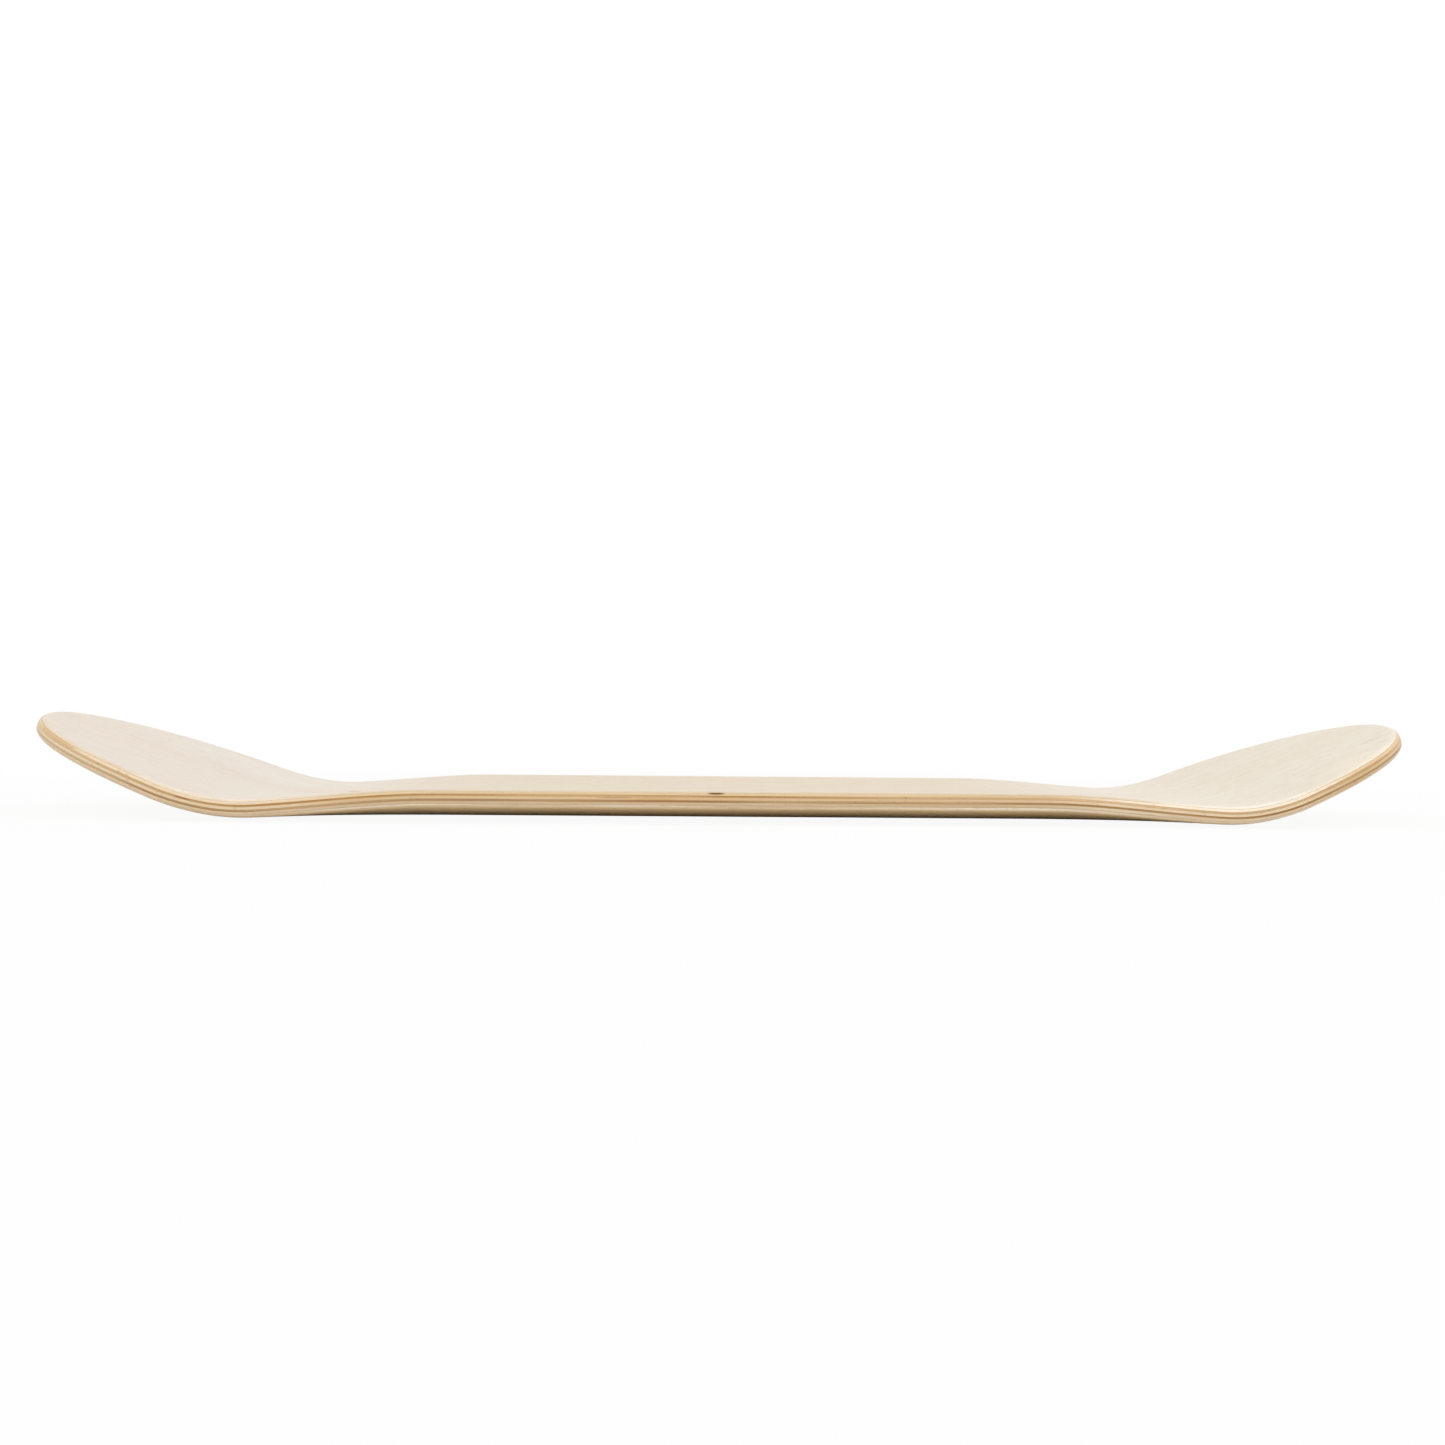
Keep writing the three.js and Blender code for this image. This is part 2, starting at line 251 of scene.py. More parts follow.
class Layer:
    """The mesh of one layer of the laminate: two sheets, the edge between them and eight bores.

    It keeps for each point where it lies on the unbent board, and how squarely the surface there
    cuts across a grain that runs along the deck, and across one that runs from rail to rail.
    """

    def __init__(self, low, high, inner_steps, rail_steps, edge_steps):
        self.low, self.high = low, high
        self.size = 0
        self.points, self.flat, self.cuts, self.faces = [], [], [], []
        top = self.sheet(high, inner_steps, rail_steps)
        bottom = self.sheet(low, inner_steps, rail_steps)
        self.faces += top["faces"] + [faces[:, ::-1] for faces in bottom["faces"]]
        self.edge(top["rim"], bottom["rim"], edge_steps)
        for centre, upper, lower in zip(BOLTS, top["rings"], bottom["rings"]):
            self.bore(centre, upper, lower)

    def add(self, x, y, height):
        """Adds points to the mesh and returns their numbers."""
        x, y, height = np.broadcast_arrays(x, y, height)
        self.points.append(pressed(x, y, height).reshape(-1, 3))
        self.flat.append(np.stack([centre_line(x)[2], y, height], -1).reshape(-1, 3))
        numbers = self.size + np.arange(x.size).reshape(x.shape)
        self.size += x.size
        return numbers

    def sheet(self, height, inner_steps, rail_steps):
        """One face of the layer: a grid that closes on a point at each tip, with its bolt cells."""
        x, y = plan(height, inner_steps, rail_steps)
        grid = np.empty(x.shape, int)
        grid[1:-1] = self.add(x[1:-1], y[1:-1], height)
        for tip in (0, -1):
            grid[tip] = self.add(x[tip, :1], y[tip, :1], height)
        solid = np.ones((x.shape[0] - 1, x.shape[1] - 1), bool)
        solid[[0, -1]] = False
        rings = []
        faces = [
            np.stack([grid[0, :-1], grid[1, :-1], grid[1, 1:]], -1),
            np.stack([grid[-2, :-1], grid[-1, :-1], grid[-2, 1:]], -1),
        ]
        for centre in BOLTS:
            row = np.argmin(np.abs(x[:, 0] - (centre[0] - CELL_MARGIN)))
            line = np.argmin(np.abs(y[len(y) // 2] - (centre[1] - CELL_MARGIN)))
            solid[row : row + CELL_STEPS, line : line + CELL_STEPS] = False
            block = slice(row, row + CELL_STEPS + 1), slice(line, line + CELL_STEPS + 1)
            square = np.stack([perimeter(x[block]), perimeter(y[block])], -1)
            loop = perimeter(grid[block])
            circle = centre + TURNS * hole_radius(height)
            for ring in range(1, HOLE_RINGS + 1):
                place = square + (circle - square) * ring / HOLE_RINGS
                inner = self.add(place[:, 0], place[:, 1], height)
                faces.append(quads_between(inner, loop))
                loop = inner
            rings.append(loop)
        corners = [grid[:-1, :-1], grid[1:, :-1], grid[1:, 1:], grid[:-1, 1:]]
        faces.append(np.stack(corners, -1)[solid])
        rim = np.concatenate([grid[:, 0], grid[-2:0:-1, -1]])
        return {"faces": faces, "rim": rim, "rings": rings}

    def edge(self, upper, lower, steps):
        """The rounded edge, from the rim of the upper sheet down to that of the lower one.

        The edge cuts a grain in proportion to its lean, which is 1 where it stands square to the
        sheet and 0 where it meets the sheet's face, times the outline's direction.
        """
        rims = {0: upper, steps: lower}
        heights = profile_heights(self.low, self.high, steps)
        for step, height in enumerate(heights):
            x, y = plan(height, 1, 1)
            x = np.concatenate([x[:, 0], x[-2:0:-1, -1]])
            y = np.concatenate([y[:, 0], y[-2:0:-1, -1]])
            below = rims[step] if step in rims else self.add(x, y, height)
            along, across = np.roll(x, -1) - np.roll(x, 1), np.roll(y, -1) - np.roll(y, 1)
            lean = (1 - edge_inset(height) / EDGE_RADIUS) / np.hypot(along, across)
            self.cuts.append((below, np.abs(across) * lean, np.abs(along) * lean))
            if step:
                self.faces.append(quads_between(loop, below))
            loop = below

    def bore(self, centre, upper, lower):
        """The wall of a bolt hole, or of the part of its countersink that lies in this layer."""
        loop = upper
        for height in np.linspace(self.high, self.low, BORE_STEPS + 1)[1:-1]:
            place = centre + TURNS * hole_radius(height)
            below = self.add(place[:, 0], place[:, 1], height)
            self.cuts.append((below, np.abs(TURNS[:, 0]), np.abs(TURNS[:, 1])))
            self.faces.append(quads_between(below, loop))
            loop = below
        self.faces.append(quads_between(lower, loop))

    def piece(self, name, material, node):
        """Makes the Blender object, which stands for a CAD node and rides with the deck."""
        mesh = bpy.data.meshes.new(name)
        faces = [face for block in self.faces for face in block.tolist()]
        mesh.from_pydata(np.concatenate(self.points).tolist(), [], faces)
        mesh.shade_smooth()
        mesh.set_sharp_from_angle(angle=SHARP_ANGLE)
        cut = np.zeros((self.size, 2))
        for numbers, along, across in self.cuts:
            cut[numbers] = np.stack([along, across], -1)
        flat = mesh.attributes.new("flat", "FLOAT_VECTOR", "POINT")
        flat.data.foreach_set("vector", np.concatenate(self.flat).ravel())
        for column, side in enumerate(("cut_along", "cut_across")):
            share = mesh.attributes.new(side, "FLOAT", "POINT")
            share.data.foreach_set("value", cut[:, column].copy())
        mesh.materials.append(material)
        made = bpy.data.objects.new(name, mesh)
        bpy.context.scene.collection.objects.link(made)
        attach(made, "root")
        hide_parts(node)


class Wire:
    """One socket of a node tree. Arithmetic on wires adds Math nodes."""

    def __init__(self, graph, socket):
        self.graph = graph
        self.socket = socket

    def __add__(self, other):
        return self.graph.math("ADD", self, other)

    def __radd__(self, other):
        return self.graph.math("ADD", other, self)

    def __sub__(self, other):
        return self.graph.math("SUBTRACT", self, other)

    def __rsub__(self, other):
        return self.graph.math("SUBTRACT", other, self)

    def __mul__(self, other):
        return self.graph.math("MULTIPLY", self, other)

    def __rmul__(self, other):
        return self.graph.math("MULTIPLY", other, self)

    def __truediv__(self, other):
        return self.graph.math("DIVIDE", self, other)

    def __rtruediv__(self, other):
        return self.graph.math("DIVIDE", other, self)

    def __pow__(self, other):
        return self.graph.math("POWER", self, other)

    def __rpow__(self, other):
        return self.graph.math("POWER", other, self)


class Graph:
    """A node tree and the few ways in which its nodes are added."""

    def __init__(self, tree):
        self.tree = tree

    def node(self, kind, settings=None, sockets=None, output=0):
        """Adds a node: its settings first, then the values or wires of its sockets."""
        made = self.tree.nodes.new(kind)
        for key, value in (settings or {}).items():
            setattr(made, key, value)
        for key, value in (sockets or {}).items():
            self.feed(made.inputs[key], value)
        return Wire(self, made.outputs[output])

    def feed(self, socket, value):
        """Links a wire to a socket, or sets the socket's own value."""
        if isinstance(value, Wire):
            self.tree.links.new(value.socket, socket)
        else:
            socket.default_value = value

    def math(self, operation, *values):
        """One operation of arithmetic on wires and numbers."""
        return self.node("ShaderNodeMath", {"operation": operation}, dict(enumerate(values)))

    def attribute(self, name, output="Fac"):
        """What the mesh keeps for each of its points under a name."""
        return self.node("ShaderNodeAttribute", {"attribute_name": name}, output=output)

    def smooth(self, value, low, high):
        """0 below low, 1 above high, and a smooth step between them."""
        sockets = {"Value": value, "From Min": low, "From Max": high}
        return self.node("ShaderNodeMapRange", {"interpolation_type": "SMOOTHSTEP"}, sockets)

    def mix(self, share, below, above):
        """A colour between two others. The node's two colour sockets go by number, 6 and 7."""
        sockets = {0: share, 6: below, 7: above}
        return self.node("ShaderNodeMix", {"data_type": "RGBA"}, sockets, output=2)

    def scaled(self, vector, scale):
        """A vector with each of its three numbers multiplied by its own scale."""
        sockets = {0: vector, 1: scale}
        return self.node("ShaderNodeVectorMath", {"operation": "MULTIPLY"}, sockets)

    def spot(self, vector, place, reach):
        """1 at a place, falling to 0 where a vector leaves the ellipsoid of a reach round it."""
        sockets = {0: vector, 1: tuple(1 / np.array(reach)), 2: tuple(-np.array(place) / reach)}
        offset = self.node("ShaderNodeVectorMath", {"operation": "MULTIPLY_ADD"}, sockets)
        away = self.node("ShaderNodeVectorMath", {"operation": "LENGTH"}, {0: offset}, "Value")
        return 1 - self.smooth(away, MARK_CORE, 1)

    def noise(self, vector, detail=2, roughness=0.5):
        """Smooth noise with about one feature in each unit of a vector."""
        sockets = {"Vector": vector, "Scale": 1, "Detail": detail, "Roughness": roughness}
        return self.node("ShaderNodeTexNoise", {"noise_dimensions": "3D"}, sockets)

    def ray(self, kind):
        """1 for rays of a kind, which tells what the camera, a reflection or a lit surface sees."""
        return self.node("ShaderNodeLightPath", output=f"Is {kind} Ray")


class Finish(Graph):
    """A material with its surface shader."""

    def __init__(self, name):
        self.material = bpy.data.materials.new(name)
        self.material.use_nodes = True
        super().__init__(self.material.node_tree)
        self.shader = self.tree.nodes["Principled BSDF"]

    def set(self, **values):
        """Sets or links sockets of the surface shader, with underscores for the spaces."""
        for key, value in values.items():
            self.feed(self.shader.inputs[key.replace("_", " ")], value)


def tone(red, green, blue):
    """The linear colour of a screen colour given in steps of 0 to 255.

    It is the screen's standard curve: a straight foot, and a power of 2.4 above it.
    """
    screen = np.array([red, green, blue]) / 255
    linear = np.where(screen <= 0.04045, screen / 12.92, ((screen + 0.055) / 1.055) ** 2.4)
    return (*linear, 1)


# Features per metre in each figure of the wood: along the grain, across it, and through the board.
# Only the streaks, which show in the sanded edge, run along the deck in every veneer.
BROAD_RATE = (3.5, 16, 90)
RING_RATE = (1.3, 8, 70)
STREAK_RATE = (9, 40, 900)
MINERAL_RATE = (7, 90, 130)
FIBRE_RATE = (60, 1500, 1500)
FLECK_RATE = (260, 1700, 900)
PORE_RATE = (900, 1500, 2200)
PLAIN_DETAIL = 1
FINE_DETAIL = 3
FIBRE_COARSENESS = 0.6

MAPLE_TONES = tone(228, 219, 207), tone(225, 213, 199)
RING_TONE = tone(205, 178, 140)
MINERAL_TONE = tone(176, 158, 130)
FIBRE_TONE = tone(196, 170, 134)
FLECK_TONE = tone(188, 160, 124)
PORE_TONE = tone(130, 94, 56)
SIDE_WARM = tone(206, 172, 124)
END_TONE = tone(212, 182, 140)

# Where each figure's noise, or the share of a cut, starts to show and where it shows in full.
BROAD_BAND = (0.35, 0.65)
RING_BAND = (0.35, 0.7)
STREAK_BAND = (0.35, 0.65)
MINERAL_BAND = (0.66, 0.76)
FIBRE_BAND = (0.45, 0.75)
FLECK_BAND = (0.62, 0.75)
SIDE_BAND = (0.1, 0.7)
END_BAND = (0.3, 0.9)
MIDDLE_BAND = (0.1, 0.7)

RING_COUNT = 75
RING_THINNESS = 5
RING_SHARE = 0.1
MINERAL_SHARE = 0.26
STREAK_SHARE = 0.6
FIBRE_SHARE = 0.38
FLECK_SHARE = 0.42
PORE_SHARE = 0.6
END_SKIN_SHARE = 0.85
PATCH_SHARE = 0.45
MARK_CORE = 0.5  # the share of a mark's reach over which it keeps its full strength
GRAIN_BUMP = {"Strength": 0.25, "Distance": 0.05 * MM}
SATIN_ROUGHNESS = 0.36
FACE_GLOSS = 0.5
FIBRE_ROUGHNESS = 0.15


def maple(
    name, grain, layer, side_tone, seed, end_tone=END_TONE, marks_and_painted_light=(), tones=MAPLE_TONES, gloss=FACE_GLOSS
):
    """Hard maple whose fibres run along or across the deck, on coordinates of the unbent board.

    Growth rings are the level lines of a slow noise: a sine of its height, raised to a power, is
    high on thin lines. Fibres, flecks and mineral streaks are noise drawn out along the grain, and
    where the edge cuts across the grain the flecks are dark pores.
    The edge takes the side tone where it runs with the fibres, and the end tone where it cuts
    them, most of all in the middle of the veneer's thickness. A mark is a soft-edged ellipsoid:
    its place and reach, its colour and its share.
    """
    finish = Finish(name)
    board = finish.attribute("flat", "Vector")
    flat = finish.node("ShaderNodeVectorMath", {"operation": "ADD"}, {0: board, 1: (seed, seed, seed)})
    turned = {"along": (0, 1, 2), "across": (1, 0, 2)}[grain]

    def drawn(rate, **fineness):
        """Noise that is drawn out along the grain."""
        return finish.noise(finish.scaled(flat, [rate[i] for i in turned]), **fineness)

    broad = finish.smooth(drawn(BROAD_RATE), *BROAD_BAND)
    wave = finish.math("SINE", drawn(RING_RATE, detail=PLAIN_DETAIL) * RING_COUNT)
    ringed = finish.smooth(drawn(BROAD_RATE, detail=PLAIN_DETAIL), *RING_BAND)
    rings = ((wave + 1) / 2) ** RING_THINNESS * ringed
    streaks = finish.noise(finish.scaled(flat, STREAK_RATE), detail=FINE_DETAIL)
    streak = finish.smooth(streaks, *STREAK_BAND)
    mineral = finish.smooth(drawn(MINERAL_RATE, detail=FINE_DETAIL), *MINERAL_BAND)
    fibre = drawn(FIBRE_RATE, detail=FINE_DETAIL, roughness=FIBRE_COARSENESS)
    fleck = finish.smooth(drawn(FLECK_RATE, detail=PLAIN_DETAIL), *FLECK_BAND)
    pore = drawn(PORE_RATE)

    colour = finish.mix(broad, *tones)
    colour = finish.mix(rings * RING_SHARE, colour, RING_TONE)
    colour = finish.mix(mineral * MINERAL_SHARE, colour, MINERAL_TONE)

    cuts = [finish.attribute("cut_along"), finish.attribute("cut_across")]
    end_cut, side_cut = cuts if grain == "along" else cuts[::-1]
    height = finish.node("ShaderNodeSeparateXYZ", sockets={0: board}, output=2)
    through = (height - layer.low) / (layer.high - layer.low)
    middle = finish.smooth(1 - finish.math("ABSOLUTE", through * 2 - 1), *MIDDLE_BAND)
    side = finish.mix(streak * STREAK_SHARE, side_tone, SIDE_WARM)
    colour = finish.mix(finish.smooth(side_cut, *SIDE_BAND), colour, side)
    skin = middle * (1 - END_SKIN_SHARE) + END_SKIN_SHARE
    end = finish.smooth(end_cut, *END_BAND) * skin * (1 - streak * PATCH_SHARE)
    colour = finish.mix(end, colour, end_tone)
    # Some marks are painted light and shade: pale patches and highlights at the bends and ends, and a
    # darker patch between the trucks.
    for place, reach, mark_tone, share in marks_and_painted_light:
        colour = finish.mix(finish.spot(board, place, reach) * share, colour, mark_tone)
    colour = finish.mix(finish.smooth(fibre, *FIBRE_BAND) * FIBRE_SHARE, colour, FIBRE_TONE)
    colour = finish.mix(fleck * FLECK_SHARE, colour, FLECK_TONE)
    colour = finish.mix(fleck * end_cut * PORE_SHARE, colour, PORE_TONE)
    finish.set(
        Base_Color=colour,
        Roughness=fibre * FIBRE_ROUGHNESS + SATIN_ROUGHNESS,
        Specular_IOR_Level=gloss,
        Normal=finish.node("ShaderNodeBump", sockets={**GRAIN_BUMP, "Height": fibre + pore * end_cut}),
    )
    return finish.material


FACE_STEPS = {"inner_steps": 4, "rail_steps": 22, "edge_steps": 10}
CORE_STEPS = {"inner_steps": 1, "rail_steps": 3, "edge_steps": 5}


def veneer_heights(number):
    """The lower and upper face of a veneer, counted from 1 at the top."""
    sheets = [CROSS_THICKNESS if n in CROSS_VENEERS else LONG_THICKNESS for n in range(1, number + 1)]
    high = THICKNESS - sum(sheets[:-1]) - GLUE_THICKNESS * (number - 1)
    return high - sheets[-1], high


bottom_layer = Layer(0, veneer_heights(VENEER_COUNT)[1], **FACE_STEPS)
BOTTOM_TONES = tone(240, 220, 184), tone(234, 210, 170)
# Painted light: the bottom veneer's edge is near white, lifted against the shade on the lower rounded
# edge.
BOTTOM_SIDE_TONE_WITH_PAINTED_LIGHT = tone(250, 240, 224)
BOTTOM_SEED = 0.7
bottom_maple = maple(
    "bottom_face_maple", "along", bottom_layer, BOTTOM_SIDE_TONE_WITH_PAINTED_LIGHT, BOTTOM_SEED, tones=BOTTOM_TONES
)
bottom_layer.piece("bottom_face_veneer", bottom_maple, "ply_7_bottom_face")

# The cross-grain veneers
#
# Two veneers of the core lie with their grain from rail to rail, which keeps the deck from
# splitting along its length. At the rails they show end grain: a dark line in the sanded edge.

NEAR_RAIL = -HALF_WIDTH / MM
CROSS_SEED_STEP = 0.37
EDGE_GLOSS = 0.3  # the sanded edge takes less of the sealer than the faces do
CROSS_TONES = tone(234, 208, 166), tone(228, 200, 154)
CROSS_SIDE_TONE = tone(222, 194, 152)
CROSS_END_TONES = {3: tone(168, 120, 52), 5: tone(142, 96, 38)}
# Painted light: the cross veneers' edges are paler round the nose.
NOSE_PAINTED_LIGHT = ((-375, 0, 4.8), (70, 500, 20), tone(244, 222, 190), 0.3)
CROSS_MARKS_AND_PAINTED_LIGHT = {
    3: [
        # Painted light: the third veneer's edge is paler toward the tail.
        ((190, NEAR_RAIL, 6.1), (190, 12, 1.2), tone(240, 212, 176), 0.35),  # paler to the tail
        ((-291, NEAR_RAIL, 6.2), (6, 6, 0.6), tone(150, 84, 30), 0.8),  # burnt by the router
    ],
    5: [((-148, NEAR_RAIL, 3.4), (45, 6, 1.2), tone(146, 124, 96), 0.5)],  # stained grey
}


def in_metres(marks_and_painted_light):
    """Marks whose places and reaches are given in millimetres."""
    return [(np.array(place) * MM, np.array(reach) * MM, *look) for place, reach, *look in marks_and_painted_light]


for number, end_tone in CROSS_END_TONES.items():
    layer = Layer(*veneer_heights(number), **CORE_STEPS)
    cross_maple = maple(
        f"cross_maple_{number}",
        "across",
        layer,
        CROSS_SIDE_TONE,
        number * CROSS_SEED_STEP,
        end_tone=end_tone,
        marks_and_painted_light=in_metres([NOSE_PAINTED_LIGHT, *CROSS_MARKS_AND_PAINTED_LIGHT[number]]),
        tones=CROSS_TONES,
        gloss=EDGE_GLOSS,
    )
    layer.piece(f"cross_veneer_{number}", cross_maple, f"ply_{number}_cross")

# The long-grain core veneers
#
# Three veneers of the core lie with their grain from nose to tail, as the faces do. They show pale
# side grain at the rails, and end grain only round the tips.

LONG_SEED_STEP = 0.53
# Ply 6's side tone is partly its own greyer maple and partly painted light, lifted against the shade on
# the lower rounded edge.
LONG_SIDE_TONES = {2: tone(222, 196, 156), 4: tone(216, 188, 148), 6: tone(214, 194, 164)}
# Painted light: the long veneers' edges are paler at both bends.
BENDS_PAINTED_LIGHT = [
    ((-310, 0, 4.8), (120, 500, 20), tone(250, 236, 212), 0.4),
    ((250, 0, 4.8), (95, 500, 20), tone(250, 236, 212), 0.4),
]
LONG_MARKS_AND_PAINTED_HIGHLIGHT = {
    2: [
        # Painted highlight: a near-white band along the tail's bend stands in for the satin sheen on the
        # edge.
        ((280, NEAR_RAIL, 7.4), (110, 18, 1.6), tone(254, 242, 222), 0.6),  # paler at the bend
        ((-13, NEAR_RAIL, 7.8), (5.5, 6, 0.7), tone(60, 34, 0), 1),  # the heart of a small knot
        ((-378, -68, 7.4), (34, 30, 1.6), tone(206, 162, 100), 0.8),  # golden on the nose's rim
        ((372, -70, 7.4), (30, 30, 1.6), tone(214, 176, 124), 0.6),  # golden on the tail's rim
    ],
    4: [
        ((-66, NEAR_RAIL, 5.2), (12, 6, 0.6), tone(172, 112, 62), 0.5),  # stained red
        ((-46, NEAR_RAIL, 4.6), (15, 6, 0.9), tone(200, 156, 80), 0.5),  # stained yellow
    ],
    6: [],
}
for number, side_tone in LONG_SIDE_TONES.items():
    layer = Layer(*veneer_heights(number), **CORE_STEPS)
    long_maple = maple(
        f"long_maple_{number}",
        "along",
        layer,
        side_tone,
        number * LONG_SEED_STEP,
        marks_and_painted_light=in_metres([*BENDS_PAINTED_LIGHT, *LONG_MARKS_AND_PAINTED_HIGHLIGHT[number]]),
        gloss=EDGE_GLOSS,
    )
    layer.piece(f"long_veneer_{number}", long_maple, f"ply_{number}_long")

# The glue films
#
# Six films of wood glue, hardened in the press. Only their thin amber edges ever show.

GLUE_TONE = tone(154, 122, 80)
GLUE_DARK = tone(128, 98, 60)
GLUE_PATCH_RATE = (40, 40, 40)
GLUE_PATCH_BAND = (0.35, 0.65)
GLUE_ROUGHNESS = 0.35
GLUE_PATCH_ROUGHNESS = 0.2
GLUE_STEPS = {"inner_steps": 1, "rail_steps": 3, "edge_steps": 1}


def glue_finish():
    """Amber glue that is darker where it has soaked into the wood, in slow patches."""
    finish = Finish("hardened_glue")
    flat = finish.attribute("flat", "Vector")
    patches = finish.noise(finish.scaled(flat, GLUE_PATCH_RATE), detail=FINE_DETAIL)
    finish.set(
        Base_Color=finish.mix(finish.smooth(patches, *GLUE_PATCH_BAND), GLUE_TONE, GLUE_DARK),
        Roughness=patches * GLUE_PATCH_ROUGHNESS + GLUE_ROUGHNESS,
    )
    return finish.material


glue = glue_finish()
for number in range(1, VENEER_COUNT):
    layer = Layer(veneer_heights(number + 1)[1], veneer_heights(number)[0], **GLUE_STEPS)
    layer.piece(f"glue_line_{number}", glue, f"glue_film_{number}_to_{number + 1}")

# The top face veneer
#
# The last sheet in the press: the palest maple, with its grain from nose to tail, sanded and sealed.
# The heads of the truck bolts sink into its countersinks.

TOP_SEED = 0.2
TOP_SIDE_TONE = tone(222, 205, 177)
TOP_MARKS_AND_PAINTED_LIGHT = [
    # Painted shade: a darker, warmer patch between the trucks, where the face shows less sheen.
    ((-10, 0, 9.6), (300, 500, 20), tone(215, 198, 170), 0.6),  # warmer between the trucks
    # Painted light: the tail's face is paler and creamier.
    ((365, 0, 9.6), (150, 500, 20), tone(231, 222, 203), 0.7),  # creamier on the tail
    ((-13, NEAR_RAIL, 8.3), (6.5, 6, 0.5), tone(160, 116, 36), 0.8),  # the edge of the small knot
    # Painted highlights: the next three marks pale the rim at the nose's bend, the tail's bend and the
    # tail's rim, in place of the satin highlight on the rounded edge.
    ((-300, NEAR_RAIL, 8.7), (90, 12, 1.6), tone(240, 230, 213), 0.5),  # paler at the nose's bend
    ((290, NEAR_RAIL, 8.7), (100, 9, 1.6), tone(242, 234, 221), 0.8),  # paler at the tail's bend
    ((365, -80, 8.7), (60, 30, 1.6), tone(240, 230, 213), 0.6),  # paler on the tail's rim
    ((-370, 6, 9.6), (10, 2, 1), tone(196, 176, 158), 0.3),  # a grey streak on the nose
    ((383, -41, 9.6), (9, 1.6, 1), tone(170, 146, 130), 0.4),  # a dark streak on the tail
]
top_layer = Layer(*veneer_heights(1), **FACE_STEPS)
top_maple = maple(
    "top_face_maple", "along", top_layer, TOP_SIDE_TONE, TOP_SEED, marks_and_painted_light=in_metres(TOP_MARKS_AND_PAINTED_LIGHT)
)
top_layer.piece("top_face_veneer", top_maple, "ply_1_top_face")

# The floor
#
# A plain white floor under the deck, which stands for a sheet of white paper.

FLOOR_SIZE = 40
FLOOR_GAP = 0.05 * MM
PAPER_TONE = tone(225, 224, 222)
BOUNCE_TONE = tone(230, 223, 212)
SHADOW_SHARE = 0.07  # how much of the deck's shadow the camera sees
SHADOW_START = 0.4
SHADOW_END = 0.9
WHITE = (1, 1, 1, 1)


def floor_finish():
    """Lit paper near the deck, and plain white to the camera and to reflections further off.

    The camera sees only a small share of the lit paper, so that the deck's shadow on it is faint.
    """
    finish = Finish("white_paper")
    camera, glossy, through = (finish.ray(kind) for kind in ("Camera", "Glossy", "Transmission"))
    shade = finish.mix(camera, BOUNCE_TONE, PAPER_TONE)
    paper = finish.node("ShaderNodeBsdfDiffuse", sockets={"Color": shade})
    glow = finish.node("ShaderNodeEmission", sockets={"Color": WHITE, "Strength": 1})
    place = finish.node("ShaderNodeTexCoord", output="Object")
    distance = finish.node("ShaderNodeVectorMath", {"operation": "LENGTH"}, {0: place}, "Value")
    far = finish.smooth(distance, SHADOW_START, SHADOW_END)
    white_share = camera * (far * SHADOW_SHARE + (1 - SHADOW_SHARE)) + (glossy + through) * far
    shown = finish.node("ShaderNodeMixShader", sockets={0: white_share, 1: paper, 2: glow})
    output = finish.tree.nodes["Material Output"]
    finish.tree.links.new(shown.socket, output.inputs["Surface"])
    return finish.material


bpy.ops.mesh.primitive_plane_add(size=FLOOR_SIZE, location=(0, 0, -FLOOR_GAP))
floor = bpy.context.object
floor.name = "floor"
floor.data.materials.append(floor_finish())

# The light
#
# A white room and four large soft boxes: one overhead, one in front, and a weak one at each end.

ROOM_STRENGTH = 0.62
# Where each soft box stands, its width and height in metres, and its power in watts.
SOFT_BOXES = {
    "overhead_soft_box": ((0, -0.3, 1.5), (2.4, 1.4), 8),
    "front_soft_box": ((0, -2, 1), (3.4, 1.9), 16),
    "left_soft_box": ((-1.4, 0.1, 0.8), (0.9, 0.9), 2.5),
    "right_soft_box": ((1.4, 0.1, 0.8), (0.9, 0.9), 4.5),
}


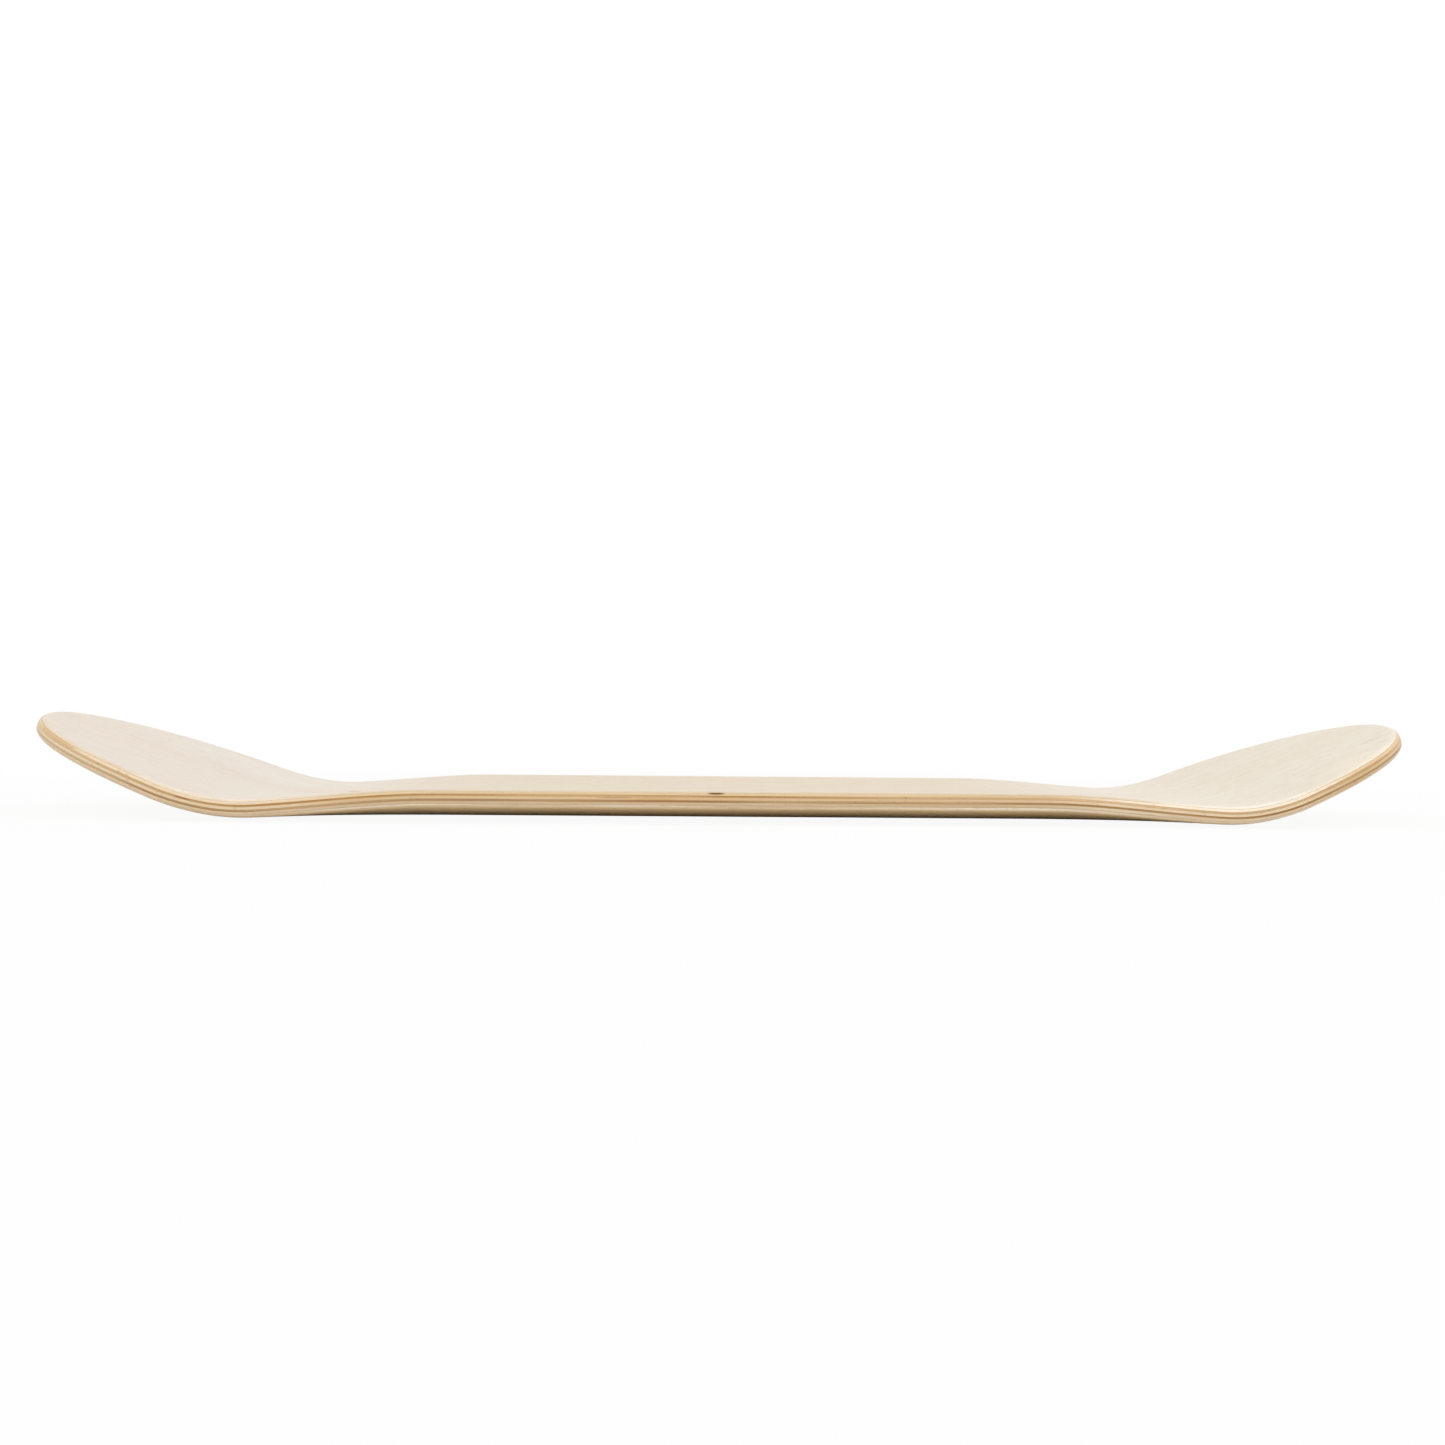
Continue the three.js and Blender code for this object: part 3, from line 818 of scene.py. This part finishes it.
def light_room():
    """A room that the camera and reflections see as plain white, and that lights the deck evenly."""
    world = bpy.data.worlds.new("white_room")
    bpy.context.scene.world = world
    world.use_nodes = True
    graph = Graph(world.node_tree)
    room = graph.tree.nodes["Background"]
    camera, glossy, through = (graph.ray(kind) for kind in ("Camera", "Glossy", "Transmission"))
    seen = graph.math("MAXIMUM", camera, graph.math("MAXIMUM", glossy, through))
    graph.feed(room.inputs["Color"], WHITE)
    graph.feed(room.inputs["Strength"], seen * (1 - ROOM_STRENGTH) + ROOM_STRENGTH)


def soft_box(name, place, size, power):
    """A rectangular soft box that faces the middle of the deck."""
    lamp = bpy.data.lights.new(name, "AREA")
    lamp.shape = "RECTANGLE"
    lamp.size, lamp.size_y = size
    lamp.energy = power
    box = bpy.data.objects.new(name, lamp)
    box.location = place
    box.rotation_euler = (-Vector(place)).to_track_quat("-Z", "Y").to_euler()
    bpy.context.scene.collection.objects.link(box)


light_room()
for name, (place, size, power) in SOFT_BOXES.items():
    soft_box(name, place, size, power)

# The camera
#
# It stands close to the near rail and level with the deck, as in the photograph.

CAMERA_PLACE = Vector((-29.39, -695.14, 50.38)) * MM
CAMERA_YAW, CAMERA_PITCH, CAMERA_ROLL = (math.radians(a) for a in (1.852, 0.337, 0.539))
FOCAL_PIXELS = 1137.1
PICTURE_PIXELS = 1445
SENSOR_WIDTH = 36

camera = bpy.data.objects.new("camera", bpy.data.cameras.new("camera"))
camera.data.sensor_width = SENSOR_WIDTH
camera.data.lens = FOCAL_PIXELS * SENSOR_WIDTH / PICTURE_PIXELS
camera.data.clip_start = 10 * MM
level = math.cos(CAMERA_PITCH)
ahead = Vector((math.sin(CAMERA_YAW) * level, math.cos(CAMERA_YAW) * level, math.sin(CAMERA_PITCH)))
right = ahead.cross(Vector((0, 0, 1))).normalized()
upward = right.cross(ahead)
turn = Matrix.Rotation(CAMERA_ROLL, 3, -ahead)
axes = Matrix((turn @ right, turn @ upward, -ahead)).transposed()
camera.matrix_world = Matrix.Translation(CAMERA_PLACE) @ axes.to_4x4()
bpy.context.scene.collection.objects.link(camera)
bpy.context.scene.camera = camera
bpy.context.scene.view_settings.view_transform = "Standard"
